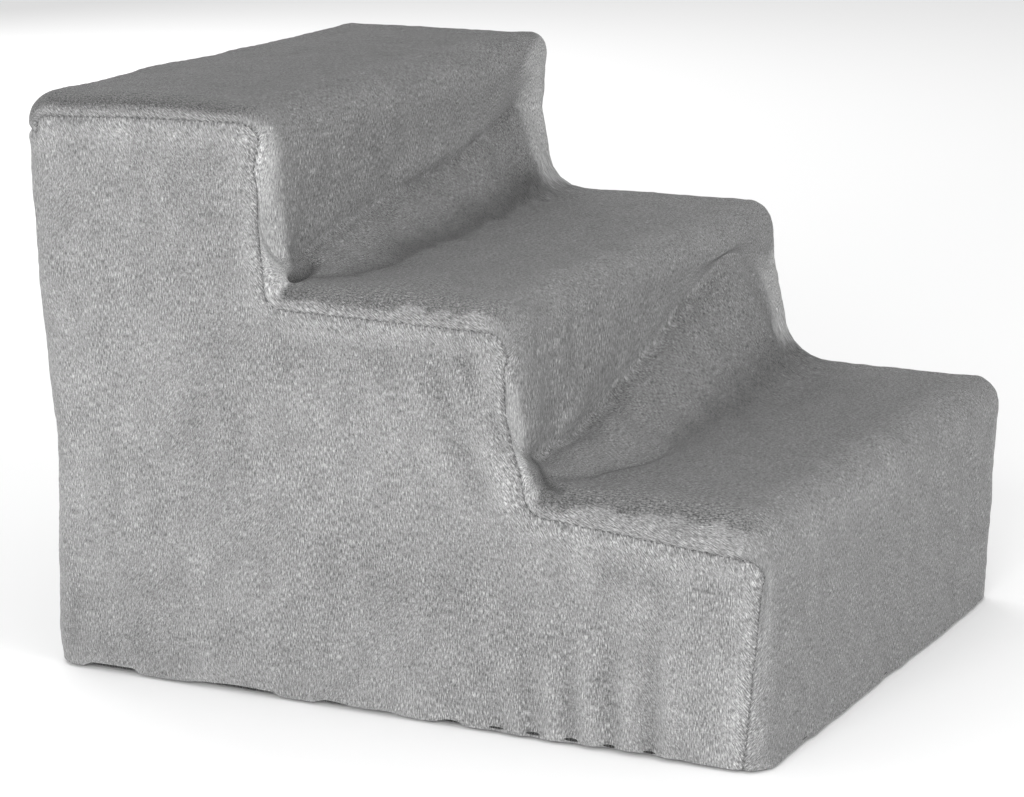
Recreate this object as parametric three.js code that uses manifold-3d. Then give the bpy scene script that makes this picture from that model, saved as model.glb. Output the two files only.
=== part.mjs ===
// A three-step pet stair: a pegged plastic frame with foam tread pads under a loose plush cover.
//
// Millimetres. +Z is up, X is across the treads, and the stair climbs towards +Y. The origin is on
// the floor, in the middle of the stair. Left and right are those of a pet walking up.
import * as THREE from "three";
import { mergeVertices } from "three/addons/utils/BufferGeometryUtils.js";
import Module from "manifold-3d";

// The outside of the plush cover.
const WIDTH = 400;
const DEPTH = 516;
const FRONT = -DEPTH / 2;
const BACK = DEPTH / 2;
const STEP_NAMES = ["bottom", "middle", "top"];
const TREAD_HEIGHTS = [158, 267, 376];
const NOSE_PLACES = [FRONT, -90, 80];
const NOSE_RADIUS = 24;
const CORNER_RADIUS = 14;
const EDGE_RADIUS = 22;

// How far the cover's front and rear come in from the nosing or top edge down to the floor.
const FRONT_TUCK = 6;
const REAR_TUCK = 4;

// What is stacked under each tread's plush, from the top down.
const COVER = 5;
const SLACK = 0.4;
const PAD = 8;
const GAP = 0.3;
const BOARD = 14;
const CORE = COVER + SLACK;

// The frame.
const SIDE_FACE = WIDTH / 2 - 6.5;
const PANEL = 14;
const PANEL_SKIN = 3.5;
const PANEL_INNER = SIDE_FACE - PANEL;
const RIM = 4;
const RIB = 3;
const BOARD_SKIN = 3;
const BOARD_END = WIDTH / 2 - 8;
const BOARD_SOLID_END = 15;
const RISER_INSET = 12;
const WINDOW_MARGIN = 6;
const FRAME_BASE = 8;
const CELLS_PER_STEP = 3;
const ROWS_PER_STEP = [3, 2, 2];
const LOWER_RAIL_HEIGHT = 50;
const UPPER_RAIL_HEIGHT = 52;
const BASE_RAIL = { width: 30, skin: 4, endBlock: 14.5, footBlock: 36, pegHeight: 6 };

// Push pegs: each holds the solid end of a board or rail to a rim or the skin of a side panel.
const PEG = { shaft: 2.6, barb: 3.3, head: 5, headHeight: 2, tip: 3.6, sunk: 0.2 };
const PEG_LENGTH = BOARD - PEG.sunk + GAP + RIM + PEG.tip;
const PEG_HOLE = { radius: 2.9, recess: 5.3, headRoom: 8 };
const FACE_PEG_DEPTH = 6;
const PEG_FROM_CENTRE = 185.5;

// Rubber feet under the base rails.
const FOOT = { radius: 9, stem: 2.6, stemHeight: 8, hole: 2.9 };
const FOOT_FROM_CENTRE = 140;

// The cover's lower edge, with flaps that fold under the frame onto hook strips.
const HEM = 6;
const SEAM_INSET = 14;
const BACK_SEAM_INSET = 18;
const FLAP = { thickness: 3, bottom: 2.6, width: 30, fromEdge: 0.8 };
const STRIP = { thickness: 1.8, width: 12, fromEdge: 7 };
const SIDE_STRIP_LENGTH = 380;
const CROSS_STRIP_LENGTH = 260;

// How finely the round shapes are divided.
const ARC_STEPS = 4;
const EDGE_STEPS = 3;
const ROUND_SIDES = 8;

const SIDES = { left: -1, right: 1 };

const FINISHES = {
  plastic: { color: 0xc9c6bf, roughness: 0.5, metalness: 0 },
  peg: { color: 0x8f8d88, roughness: 0.45, metalness: 0 },
  foam: { color: 0xe4e0d2, roughness: 0.95, metalness: 0 },
  rubber: { color: 0x1c1c1d, roughness: 0.85, metalness: 0 },
  hook: { color: 0x121213, roughness: 0.95, metalness: 0 },
  plush: { color: 0x9a9a9a, roughness: 1, metalness: 0 },
};

const wasm = await Module();
wasm.setup();

// ---- Solids ----

function solid(geometry) {
  geometry.deleteAttribute("normal");
  geometry.deleteAttribute("uv");
  const merged = mergeVertices(geometry, 1e-4);
  const mesh = new wasm.Mesh({
    numProp: 3,
    vertProperties: merged.attributes.position.array,
    triVerts: new Uint32Array(merged.index.array),
  });
  return new wasm.Manifold(mesh);
}

function geometryOf(shape) {
  const { vertProperties, triVerts } = shape.getMesh();
  const geometry = new THREE.BufferGeometry();
  geometry.setAttribute("position", new THREE.BufferAttribute(vertProperties, 3));
  geometry.setIndex(new THREE.BufferAttribute(triVerts, 1));
  geometry.computeVertexNormals();
  return geometry;
}

function joined(solids) {
  return solids.reduce((all, one) => all.add(one));
}

// A block between two values on each axis, given in either order.
function block([x0, x1], [y0, y1], [z0, z1]) {
  const size = [x1 - x0, y1 - y0, z1 - z0].map(Math.abs);
  const geometry = new THREE.BoxGeometry(...size);
  return solid(geometry.translate((x0 + x1) / 2, (y0 + y1) / 2, (z0 + z1) / 2));
}

// A cylinder from z = 0 up to the height.
function post(radius, height) {
  const geometry = new THREE.CylinderGeometry(radius, radius, height, ROUND_SIDES);
  return geometry.rotateX(Math.PI / 2).translate(0, 0, height / 2);
}

// A closed outline in the (y, z) plane, with an arc of the given radius at each corner [y, z, radius].
function roundedOutline(corners) {
  const count = corners.length;
  const towards = (from, to) => new THREE.Vector2(to[0] - from[0], to[1] - from[1]).normalize();
  const points = corners.flatMap((corner, i) => {
    const at = new THREE.Vector2(corner[0], corner[1]);
    const radius = corner[2];
    if (!radius) return [at];
    const back = towards(corner, corners[(i + count - 1) % count]);
    const on = towards(corner, corners[(i + 1) % count]);
    const half = back.angleTo(on) / 2;
    const sweep = Math.sign(on.cross(back)) * (Math.PI - 2 * half);
    const middle = back.clone().add(on).setLength(radius / Math.sin(half)).add(at);
    const start = back.multiplyScalar(radius / Math.tan(half)).add(at);
    return Array.from({ length: ARC_STEPS + 1 }, (_, k) =>
      start.clone().rotateAround(middle, (k / ARC_STEPS) * sweep),
    );
  });
  return new THREE.Shape(points);
}

// The stair seen from the side, moved in from the outside of the plush by an amount for each kind
// of face. The front and back come in by their tucks from the top of each down to the floor.
function stairOutline({ front, riser, tread, back, bottom, outer, inner, tucks = [0, 0] }) {
  const [frontTuck, rearTuck] = [
    tucks[0] * (1 - bottom / TREAD_HEIGHTS[0]),
    tucks[1] * (1 - bottom / TREAD_HEIGHTS.at(-1)),
  ];
  const corners = [[FRONT + front + frontTuck, bottom, 0]];
  TREAD_HEIGHTS.forEach((height, step) => {
    const place = NOSE_PLACES[step] + (step ? riser : front);
    if (step) corners.push([place, TREAD_HEIGHTS[step - 1] - tread, inner]);
    corners.push([place, height - tread, outer]);
  });
  corners.push([BACK - back, TREAD_HEIGHTS.at(-1) - tread, outer]);
  corners.push([BACK - back - rearTuck, bottom, 0]);
  return roundedOutline(corners);
}

function evenOutline(inset, back = inset) {
  return stairOutline({
    front: inset,
    riser: inset,
    tread: inset,
    back,
    bottom: -2 * EDGE_RADIUS,
    outer: NOSE_RADIUS - inset,
    inner: CORNER_RADIUS + inset,
    tucks: [FRONT_TUCK, REAR_TUCK],
  });
}

// Turns an extrusion of a (y, z) outline so that its depth runs along X.
const ACROSS = new THREE.Matrix4().makeBasis(
  new THREE.Vector3(0, 1, 0),
  new THREE.Vector3(0, 0, 1),
  new THREE.Vector3(1, 0, 0),
);

function prism(outline, x0, x1) {
  const low = Math.min(x0, x1);
  const depth = Math.abs(x1 - x0);
  const geometry = new THREE.ExtrudeGeometry(outline, { depth, bevelEnabled: false });
  return solid(geometry.applyMatrix4(ACROSS).translate(low, 0, 0));
}

// The whole stair moved in by an inset, with its side edges rounded, down to below the floor.
function stairBody(inset) {
  const radius = EDGE_RADIUS - inset;
  const depth = WIDTH - 2 * inset - 2 * radius;
  const geometry = new THREE.ExtrudeGeometry(evenOutline(inset), {
    depth,
    bevelThickness: radius,
    bevelSize: radius,
    bevelOffset: -radius,
    bevelSegments: EDGE_STEPS,
  });
  return solid(geometry.applyMatrix4(ACROSS).translate(-depth / 2, 0, 0));
}

// ---- Levels and places shared by several pieces ----

const padTop = (step) => TREAD_HEIGHTS[step] - CORE;
const boardTop = (step) => padTop(step) - PAD - GAP;
const panelTop = (step) => boardTop(step) - BOARD - GAP;

// The outer faces of the front board and the rear rails, which stand behind the tucked-in cover.
const FRONT_FACE = FRONT + CORE + FRONT_TUCK + SLACK;
const REAR_FACE = BACK - CORE - REAR_TUCK - SLACK;
const PANEL_FRONT = FRONT_FACE + BOARD + GAP;
const PANEL_BACK = REAR_FACE - BOARD - GAP;
const LAST_STEP = TREAD_HEIGHTS.length - 1;

// The front and rear limits of what lies on a step, between the nosing and the next riser.
function stepReach(step) {
  const front = NOSE_PLACES[step] + CORE;
  const rear = step < LAST_STEP ? NOSE_PLACES[step + 1] + RISER_INSET - GAP : BACK - CORE;
  return [front, rear];
}

function evenDivisions(from, to, count) {
  return Array.from({ length: count }, (_, k) => from + ((to - from) * k) / count);
}

// The centre lines of a side panel's ribs along the stair and up it. Each step's ribs start behind
// its own riser and under its own tread.
const RIB_EDGE = RIM - RIB / 2;
const COLUMN_STARTS = [PANEL_FRONT, ...NOSE_PLACES.slice(1).map((y) => y + RISER_INSET)].map(
  (y) => y + RIB_EDGE,
);
const COLUMNS = [
  ...COLUMN_STARTS.flatMap((start, step) =>
    evenDivisions(start, COLUMN_STARTS[step + 1] ?? PANEL_BACK - RIB_EDGE, CELLS_PER_STEP),
  ),
  PANEL_BACK - RIB_EDGE,
];
const ROW_STARTS = [FRAME_BASE + RIB_EDGE, ...TREAD_HEIGHTS.map((_, s) => panelTop(s) - RIB_EDGE)];
const ROWS = [
  ...ROWS_PER_STEP.flatMap((count, s) => evenDivisions(ROW_STARTS[s], ROW_STARTS[s + 1], count)),
  ROW_STARTS.at(-1),
];
const columnCentre = (i) => (COLUMNS[i] + COLUMNS[i + 1]) / 2;
const rowCentre = (j) => (ROWS[j] + ROWS[j + 1]) / 2;

// The base rails end in cells of the bottom row, on the side panels' bottom rims.
const BASE_RAIL_BOTTOM = FRAME_BASE + RIM + GAP;
const BASE_RAIL_COLUMNS = { front: 0, middle: CELLS_PER_STEP, rear: COLUMNS.length - 2 };
const BASE_RAIL_PLACES = Object.fromEntries(
  Object.entries(BASE_RAIL_COLUMNS).map(([name, column]) => [name, columnCentre(column)]),
);

// ---- Pegs ----

function pegGeometry() {
  const end = -PEG_LENGTH;
  const profile = [
    [0, end],
    [PEG.shaft - 0.8, end],
    [PEG.barb, end + PEG.tip - 0.4],
    [PEG.shaft, end + PEG.tip - 0.4],
    [PEG.shaft, -PEG.headHeight],
    [PEG.head, -PEG.headHeight],
    [PEG.head - 0.5, 0],
    [0, 0],
  ];
  const points = profile.map(([r, z]) => new THREE.Vector2(r, z));
  return new THREE.LatheGeometry(points, ROUND_SIDES).rotateX(Math.PI / 2);
}

// Where each peg's head is, and which way it faces.
function pegPlaces() {
  const places = [];
  const front = { rotation: [Math.PI / 2, 0, 0], y: FRONT_FACE + FACE_PEG_DEPTH };
  const rear = { rotation: [-Math.PI / 2, 0, 0], y: REAR_FACE - FACE_PEG_DEPTH };
  for (const [side, sign] of Object.entries(SIDES)) {
    const x = sign * PEG_FROM_CENTRE;
    const add = (name, position, rotation = [0, 0, 0]) =>
      places.push({ name: `${name}_${side}`, position, rotation });
    STEP_NAMES.forEach((tread, step) => {
      const first = step * CELLS_PER_STEP;
      const z = boardTop(step) - PEG.sunk;
      add(`${tread}_tread_peg_front`, [x, columnCentre(first), z]);
      add(`${tread}_tread_peg_rear`, [x, columnCentre(first + CELLS_PER_STEP - 1), z]);
    });
    add("front_board_peg_lower", [x, front.y, rowCentre(0)], front.rotation);
    add("front_board_peg_upper", [x, front.y, rowCentre(2)], front.rotation);
    add("rear_lower_rail_peg", [x, rear.y, rowCentre(0)], rear.rotation);
    add("rear_upper_rail_peg", [x, rear.y, rowCentre(ROWS.length - 2)], rear.rotation);
    for (const [rail, y] of Object.entries(BASE_RAIL_PLACES)) {
      const head = [sign * (SIDE_FACE - PEG.sunk), y, BASE_RAIL_BOTTOM + BASE_RAIL.pegHeight];
      add(`${rail}_base_rail_peg`, head, [0, (sign * Math.PI) / 2, 0]);
    }
  }
  return places;
}

const PEG_PLACES = pegPlaces();

function placed(geometry, { position, rotation }) {
  const turn = new THREE.Quaternion().setFromEuler(new THREE.Euler(...rotation));
  const matrix = new THREE.Matrix4().compose(
    new THREE.Vector3(...position),
    turn,
    new THREE.Vector3(1, 1, 1),
  );
  return geometry.applyMatrix4(matrix);
}

// The holes of the pegs whose names start with one of these words, each with its head's recess.
function pegHoles(...starts) {
  const chosen = PEG_PLACES.filter(({ name }) => starts.some((start) => name.startsWith(start)));
  const long = PEG_LENGTH + 1;
  return joined(
    chosen.flatMap((place) => {
      const hole = post(PEG_HOLE.radius, long).translate(0, 0, -long);
      const recess = post(PEG_HOLE.recess, PEG_HOLE.headRoom + PEG.headHeight + GAP);
      recess.translate(0, 0, -PEG.headHeight - GAP);
      return [solid(placed(hole, place)), solid(placed(recess, place))];
    }),
  );
}

// ---- The frame ----

const CORE_BODY = stairBody(CORE);

// Pockets open towards low z, between a board's solid ends, in a block of cells with ribs between.
function pockets(ys, zs, columns, rows, across) {
  const reach = BOARD_END - BOARD_SOLID_END;
  const width = (2 * reach + RIB) / columns;
  const [low, high] = across === "y" ? ys : zs;
  const height = (high - low + RIB) / rows;
  const cells = [];
  for (let i = 0; i < columns; i += 1) {
    const xs = [-reach + i * width, -reach + (i + 1) * width - RIB];
    for (let j = 0; j < rows; j += 1) {
      const span = [low + j * height, low + (j + 1) * height - RIB];
      cells.push(across === "y" ? block(xs, span, zs) : block(xs, ys, span));
    }
  }
  return joined(cells);
}

function treadBoard(step) {
  const top = boardTop(step);
  const [front, rear] = stepReach(step);
  const nosing = step ? RIM + RIB : RIM;
  const body = block([-BOARD_END, BOARD_END], [front, rear], [top - BOARD, top]);
  const under = [top - BOARD - 1, top - BOARD_SKIN];
  return body
    .intersect(CORE_BODY)
    .subtract(pockets([front + nosing + RIB, rear - RIM], under, 5, 2, "y"))
    .subtract(pegHoles(`${STEP_NAMES[step]}_tread_peg`));
}

// A board that stands on edge across the panels' front or rear edges.
function faceBoard(sign, [bottom, top], pegs, rows) {
  const outside = sign < 0 ? FRONT_FACE : REAR_FACE;
  const inside = outside - sign * BOARD;
  const hollow = [outside - sign * BOARD_SKIN, inside - sign];
  return block([-BOARD_END, BOARD_END], [outside, inside], [bottom, top])
    .intersect(CORE_BODY)
    .subtract(pockets(hollow, [bottom + RIM, top - RIM], 5, rows, "z"))
    .subtract(pegHoles(pegs));
}

// A cross rail between the two side panels, open underneath except at its ends and over its feet.
function baseRail(name) {
  const centre = BASE_RAIL_PLACES[name];
  const end = SIDE_FACE - PANEL_SKIN - GAP;
  const foot = [FOOT_FROM_CENTRE - BASE_RAIL.footBlock / 2, FOOT_FROM_CENTRE + BASE_RAIL.footBlock / 2];
  const [front, rear] = [centre - BASE_RAIL.width / 2, centre + BASE_RAIL.width / 2];
  const [bottom, top] = [BASE_RAIL_BOTTOM, BASE_RAIL_BOTTOM + BOARD];
  const skin = BASE_RAIL.skin;
  const hollow = (xs) => block(xs, [front + skin, rear - skin], [bottom - 1, top - skin]);
  const cuts = [hollow([-foot[0], foot[0]])];
  for (const sign of Object.values(SIDES)) {
    const hole = post(FOOT.hole, FOOT.stemHeight + 2);
    cuts.push(hollow([sign * foot[1], sign * (end - BASE_RAIL.endBlock)]));
    cuts.push(solid(hole.translate(sign * FOOT_FROM_CENTRE, centre, bottom - 1)));
  }
  return block([-end, end], [front, rear], [bottom, top])
    .subtract(joined(cuts))
    .subtract(pegHoles(`${name}_base_rail_peg`));
}

// A side panel: a thin skin with a rim and square ribs, and a window in each cell that holds no
// base rail.
function sidePanel(sign) {
  const outline = stairOutline({
    front: PANEL_FRONT - FRONT,
    riser: RISER_INSET,
    tread: TREAD_HEIGHTS[0] - panelTop(0),
    back: BACK - PANEL_BACK,
    bottom: FRAME_BASE,
    outer: 0,
    inner: 0,
  });
  const pocketDepth = [sign * (SIDE_FACE - PANEL_SKIN), sign * (PANEL_INNER - 1)];
  const windowDepth = [sign * (SIDE_FACE + 1), sign * (PANEL_INNER - 1)];
  const within = ([low, high]) => [low + WINDOW_MARGIN, high - WINDOW_MARGIN];
  const holdsRail = (i, j) => j === 0 && Object.values(BASE_RAIL_COLUMNS).includes(i);
  const cuts = [];
  for (let i = 0; i < COLUMNS.length - 1; i += 1) {
    const step = Math.floor(i / CELLS_PER_STEP);
    const rows = ROWS_PER_STEP.slice(0, step + 1).reduce((sum, count) => sum + count);
    for (let j = 0; j < rows; j += 1) {
      const ys = [COLUMNS[i] + RIB / 2, COLUMNS[i + 1] - RIB / 2];
      const zs = [ROWS[j] + RIB / 2, ROWS[j + 1] - RIB / 2];
      cuts.push(block(pocketDepth, ys, zs));
      if (!holdsRail(i, j)) cuts.push(block(windowDepth, within(ys), within(zs)));
    }
  }
  return prism(outline, sign * SIDE_FACE, sign * PANEL_INNER)
    .intersect(CORE_BODY)
    .subtract(joined(cuts))
    .subtract(pegHoles(""));
}

function footGeometry() {
  const top = BASE_RAIL_BOTTOM - GAP;
  const profile = [
    [0, 0],
    [FOOT.radius - 1, 0],
    [FOOT.radius, top],
    [FOOT.stem, top],
    [FOOT.stem, top + FOOT.stemHeight],
    [0, top + FOOT.stemHeight],
  ];
  const points = profile.map(([r, z]) => new THREE.Vector2(r, z));
  return new THREE.LatheGeometry(points, ROUND_SIDES).rotateX(Math.PI / 2);
}

function treadPad(step) {
  const top = padTop(step);
  return block([-WIDTH / 2, WIDTH / 2], stepReach(step), [top - PAD, top]).intersect(CORE_BODY);
}

// ---- The cover ----

// What the side panel of the cover takes up: the side face inside its seam, and a strip round the
// rear edge. It grows by the given amount to leave a gap for its neighbours.
function sideRegion(sign, grow) {
  const seam = evenOutline(SEAM_INSET - grow, -REAR_TUCK);
  const face = prism(seam, sign * (WIDTH / 2 + 1), sign * (WIDTH / 2 - COVER - 1 - grow));
  const edge = block(
    [sign * (WIDTH / 2 + 1), sign * (WIDTH / 2 - BACK_SEAM_INSET - grow)],
    [BACK - EDGE_RADIUS - grow, BACK + 1],
    [0, TREAD_HEIGHTS.at(-1) - SEAM_INSET + grow],
  );
  return face.add(edge);
}

// The back of the cover lies between the two side panels' edges, under a seam across the top.
function backRegion(grow) {
  const reach = WIDTH / 2 - EDGE_RADIUS + 1;
  const top = TREAD_HEIGHTS.at(-1) - SEAM_INSET;
  return block([-reach, reach], [BACK - EDGE_RADIUS, BACK + 1], [0, top + grow]);
}

const COVER_SHELL = stairBody(0)
  .subtract(stairBody(COVER))
  .intersect(block([-WIDTH, WIDTH], [-DEPTH, DEPTH], [HEM, 2 * TREAD_HEIGHTS.at(-1)]));

function sideCover(sign) {
  return COVER_SHELL.intersect(sideRegion(sign, 0));
}

function backCover() {
  const sides = joined(Object.values(SIDES).map((sign) => sideRegion(sign, GAP)));
  return COVER_SHELL.intersect(backRegion(0)).subtract(sides);
}

function stepCover() {
  const sides = Object.values(SIDES).map((sign) => sideRegion(sign, GAP));
  return COVER_SHELL.subtract(joined([...sides, backRegion(GAP)]));
}

// A flap lies flat under one edge of the stair, as long as that edge is straight, with its ends cut
// at 45 degrees.
function flapGeometry(length) {
  const half = length / 2 - EDGE_RADIUS;
  const outline = new THREE.Shape([
    new THREE.Vector2(-half, 0),
    new THREE.Vector2(half, 0),
    new THREE.Vector2(half - FLAP.width, FLAP.width),
    new THREE.Vector2(-half + FLAP.width, FLAP.width),
  ]);
  return new THREE.ExtrudeGeometry(outline, { depth: FLAP.thickness, bevelEnabled: false });
}

// ---- The assembly ----

const stair = new THREE.Group();

function add(name, finish, geometry, position = [0, 0, 0], rotation = [0, 0, 0]) {
  const mesh = new THREE.Mesh(geometry, new THREE.MeshStandardMaterial(FINISHES[finish]));
  mesh.name = name;
  mesh.position.set(...position);
  mesh.rotation.set(...rotation);
  stair.add(mesh);
}

for (const [side, sign] of Object.entries(SIDES)) {
  add(`${side}_side_panel`, "plastic", geometryOf(sidePanel(sign)));
  add(`${side}_side_cover`, "plush", geometryOf(sideCover(sign)));
  for (const [place, y] of Object.entries(BASE_RAIL_PLACES)) {
    add(`${place}_foot_${side}`, "rubber", footGeometry(), [sign * FOOT_FROM_CENTRE, y, 0]);
  }
}

STEP_NAMES.forEach((tread, step) => {
  add(`${tread}_tread_board`, "plastic", geometryOf(treadBoard(step)));
  add(`${tread}_tread_pad`, "foam", geometryOf(treadPad(step)));
});

const FRONT_BOARD_SPAN = [FRAME_BASE, panelTop(0)];
const LOWER_RAIL_SPAN = [FRAME_BASE, FRAME_BASE + LOWER_RAIL_HEIGHT];
const UPPER_RAIL_SPAN = [panelTop(LAST_STEP) - UPPER_RAIL_HEIGHT, panelTop(LAST_STEP)];
add("front_riser_board", "plastic", geometryOf(faceBoard(-1, FRONT_BOARD_SPAN, "front_board", 2)));
add("rear_lower_rail", "plastic", geometryOf(faceBoard(1, LOWER_RAIL_SPAN, "rear_lower", 1)));
add("rear_upper_rail", "plastic", geometryOf(faceBoard(1, UPPER_RAIL_SPAN, "rear_upper", 1)));
for (const name of Object.keys(BASE_RAIL_PLACES)) {
  add(`${name}_base_rail`, "plastic", geometryOf(baseRail(name)));
}

for (const { name, position, rotation } of PEG_PLACES) {
  add(name, "peg", pegGeometry(), position, rotation);
}

add("step_cover", "plush", geometryOf(stepCover()));
add("back_cover", "plush", geometryOf(backCover()));

const SIDE_HEM = DEPTH - 2 * FRONT_TUCK;

// Each edge of the base, with how far it is from the middle, how long it is, how long its hook
// strip is, and the turn that brings a piece from the front edge to it.
const BASE_EDGES = {
  front: { out: -FRONT - FRONT_TUCK, length: WIDTH, strip: CROSS_STRIP_LENGTH, turn: 0 },
  right: { out: WIDTH / 2, length: SIDE_HEM, strip: SIDE_STRIP_LENGTH, turn: Math.PI / 2 },
  rear: { out: BACK - REAR_TUCK, length: WIDTH, strip: CROSS_STRIP_LENGTH, turn: Math.PI },
  left: { out: WIDTH / 2, length: SIDE_HEM, strip: SIDE_STRIP_LENGTH, turn: -Math.PI / 2 },
};

for (const [edge, { out, length, strip, turn }] of Object.entries(BASE_EDGES)) {
  const outward = [Math.sin(turn), -Math.cos(turn)];
  const at = (distance, z) => [outward[0] * distance, outward[1] * distance, z];
  const flapPlace = at(out - FLAP.fromEdge, FLAP.bottom);
  add(`${edge}_hem_flap`, "plush", flapGeometry(length), flapPlace, [0, 0, turn]);
  const tape = new THREE.BoxGeometry(strip, STRIP.width, STRIP.thickness);
  const tapeHeight = FRAME_BASE - GAP - STRIP.thickness / 2;
  const tapePlace = at(out - STRIP.fromEdge - STRIP.width / 2, tapeHeight);
  add(`${edge}_hook_strip`, "hook", tape, tapePlace, [0, 0, turn]);
}

export default stair;
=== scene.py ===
"""A three-step pet stair in a loose plush cover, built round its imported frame."""

import math

import bpy
import numpy as np
from mathutils import Matrix, Vector
from mathutils.bvhtree import BVHTree
from mathutils.geometry import delaunay_2d_cdt


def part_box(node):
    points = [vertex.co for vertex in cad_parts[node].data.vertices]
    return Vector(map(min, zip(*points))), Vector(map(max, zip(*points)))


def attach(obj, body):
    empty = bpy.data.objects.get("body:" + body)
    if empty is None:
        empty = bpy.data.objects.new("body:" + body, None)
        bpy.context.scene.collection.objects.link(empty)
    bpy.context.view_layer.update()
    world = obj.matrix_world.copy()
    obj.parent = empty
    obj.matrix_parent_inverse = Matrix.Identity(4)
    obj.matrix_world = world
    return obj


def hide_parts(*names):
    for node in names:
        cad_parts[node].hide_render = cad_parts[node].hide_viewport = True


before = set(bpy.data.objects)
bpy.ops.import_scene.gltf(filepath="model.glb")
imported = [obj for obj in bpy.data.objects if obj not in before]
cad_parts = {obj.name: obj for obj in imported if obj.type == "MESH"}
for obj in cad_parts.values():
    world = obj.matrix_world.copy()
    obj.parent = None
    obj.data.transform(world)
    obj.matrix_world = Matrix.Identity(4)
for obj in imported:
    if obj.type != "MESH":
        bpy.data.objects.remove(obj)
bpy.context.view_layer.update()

# Shapes are worked out in millimetres, in the frame's axes: X across the treads, +Y up the stair.
MM = 0.001
STEPS = ("bottom", "middle", "top")
EDGES = ("left", "right", "front", "rear")
SIDES = {"left": -1, "right": 1}

# ---- Sizes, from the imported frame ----

CORE = 5.4  # from the outside of the plush to what lies under it
HALF = -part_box("left_side_cover")[0].x / MM
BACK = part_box("back_cover")[1].y / MM
FRONT = -BACK
TREADS = [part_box(f"{step}_tread_pad")[1].z / MM + CORE for step in STEPS]
NOSES = [FRONT] + [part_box(f"{step}_tread_board")[0].y / MM - CORE for step in STEPS[1:]]
FOOT_OF_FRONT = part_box("front_hem_flap")[0].y / MM - 0.8
TOP = TREADS[-1]

# ---- The cover's outside shape ----

EDGE = 22.0          # radius of the stair's rear edges
ROUNDING = {-1: 20.0, 1: 15.0}  # radius of its left and its right edges
NOSE = 24.0          # radius of the nosings
SEAM_DROP = 14.0     # from the top down to the seam beside the top tread
BACK_DROP = 25.0     # from the top down to the seam on the back
BACK_SEAM = 18.0     # from a side face in to the upright seams on the back
HEM_LEVEL = 2.2      # the cover's lower edge, above the floor
HEM_RISE = 3.2       # how far the sides' hem rides up in places, above the flap's edge, painted dark as shadow
ROW_STEP = 2.1       # between the strip's rows, and its columns
COLUMN_STEP = 2.0
SIDE_COLUMNS = 14    # round each of its side edges
PANEL_STEP = 1.5  # between the points of a side panel
GROOVE = 1.7         # how deep a seam pulls the plush in
GROOVE_WIDTH = 2.2
STITCH = 4.5         # length of a stitch
PIT = 0.5            # how deep each stitch pulls the groove in further
PIT_WIDTH = 1.6
CRISP = True         # marks a fold with a sharp bottom


# ---- Fields ----

def smooth(value, start, end):
    t = np.clip((value - start) / (end - start), 0.0, 1.0)
    return t * t * (3 - 2 * t)


def plateau(value, rise_from, rise_to, fall_from, fall_to):
    """1 on a stretch of values, easing up from 0 before it and down to 0 after it."""
    return smooth(value, rise_from, rise_to) * (1 - smooth(value, fall_from, fall_to))


def between(x, places, values):
    """Smooth interpolation of values given at places along x."""
    x = np.asarray(x, float)
    result = np.full(x.shape, float(values[0]))
    for i in range(len(places) - 1):
        result += (values[i + 1] - values[i]) * smooth(x, places[i], places[i + 1])
    return result


def random_lattice(i, j, seed):
    """A repeatable random number from 0 to 1 at whole-number places."""
    n = (i.astype(np.int64) * 374761393 + j.astype(np.int64) * 668265263 + seed * 69069) & 0xFFFFFFFF
    n = ((n ^ (n >> 13)) * 1274126177) & 0xFFFFFFFF
    return ((n ^ (n >> 16)) & 0xFFFFFF) / float(0xFFFFFF)


def noise(u, v, seed):
    """Smooth noise from -1 to 1 with features about one unit across."""
    i, j = np.floor(u), np.floor(v)
    a, b = u - i, v - j
    a, b = a * a * (3 - 2 * a), b * b * (3 - 2 * b)
    low = random_lattice(i, j, seed) * (1 - a) + random_lattice(i + 1, j, seed) * a
    high = random_lattice(i, j + 1, seed) * (1 - a) + random_lattice(i + 1, j + 1, seed) * a
    return 2 * (low * (1 - b) + high * b) - 1


def unevenness(u, v, seed):
    """How plush over an open frame wanders from a true surface: broad waves, soft dents and tufts."""
    broad = 1.1 * noise(u / 75, v / 75, seed) + 0.6 * noise(u / 31, v / 31, seed + 1)
    dents = 0.30 * noise(u / 12, v / 12, seed + 2)
    tufts = 0.26 * noise(u / 3.4, v / 6.5, seed + 3) + 0.16 * noise(u / 2.6, v / 4.6, seed + 4)
    return broad + dents + tufts


def beside(u, v, line):
    """For each point: distance to a line, which side it lies on, and how far along the line, 0 to 1."""
    best = np.full(u.shape, np.inf)
    side = np.zeros(u.shape)
    along = np.zeros(u.shape)
    points = np.array(line, float)
    lengths = np.hypot(*(points[1:] - points[:-1]).T)
    total, passed = lengths.sum(), 0.0
    for (au, av), (bu, bv), length in zip(points[:-1], points[1:], lengths):
        du, dv = (bu - au) / length, (bv - av) / length
        t = np.clip((u - au) * du + (v - av) * dv, 0, length)
        off_u, off_v = u - au - t * du, v - av - t * dv
        distance = np.hypot(off_u, off_v)
        nearer = distance < best
        best = np.where(nearer, distance, best)
        side = np.where(nearer, np.sign(du * off_v - dv * off_u), side)
        along = np.where(nearer, (passed + t) / total, along)
        passed += length
    return best, side, along


def fold(u, v, line, height, width, fade=(1.0, 1.0), crisp=False):
    """A ridge, or with a negative height a valley, along a line. fade is its strength at either end."""
    distance, _, along = beside(u, v, line)
    strength = fade[0] + (fade[1] - fade[0]) * along
    shape = np.exp(-distance / width) if crisp else np.exp(-(distance / width) ** 2)
    return height * strength * shape


def folded(u, v, folds, height=0.0):
    """A height with folds added to it, each with its line, height and width, and maybe fade and crispness."""
    for line, rise, width, *rest in folds:
        height = height + fold(u, v, line, rise, width, *rest)
    return height


# ---- The section of the stair and the seams ----

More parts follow.
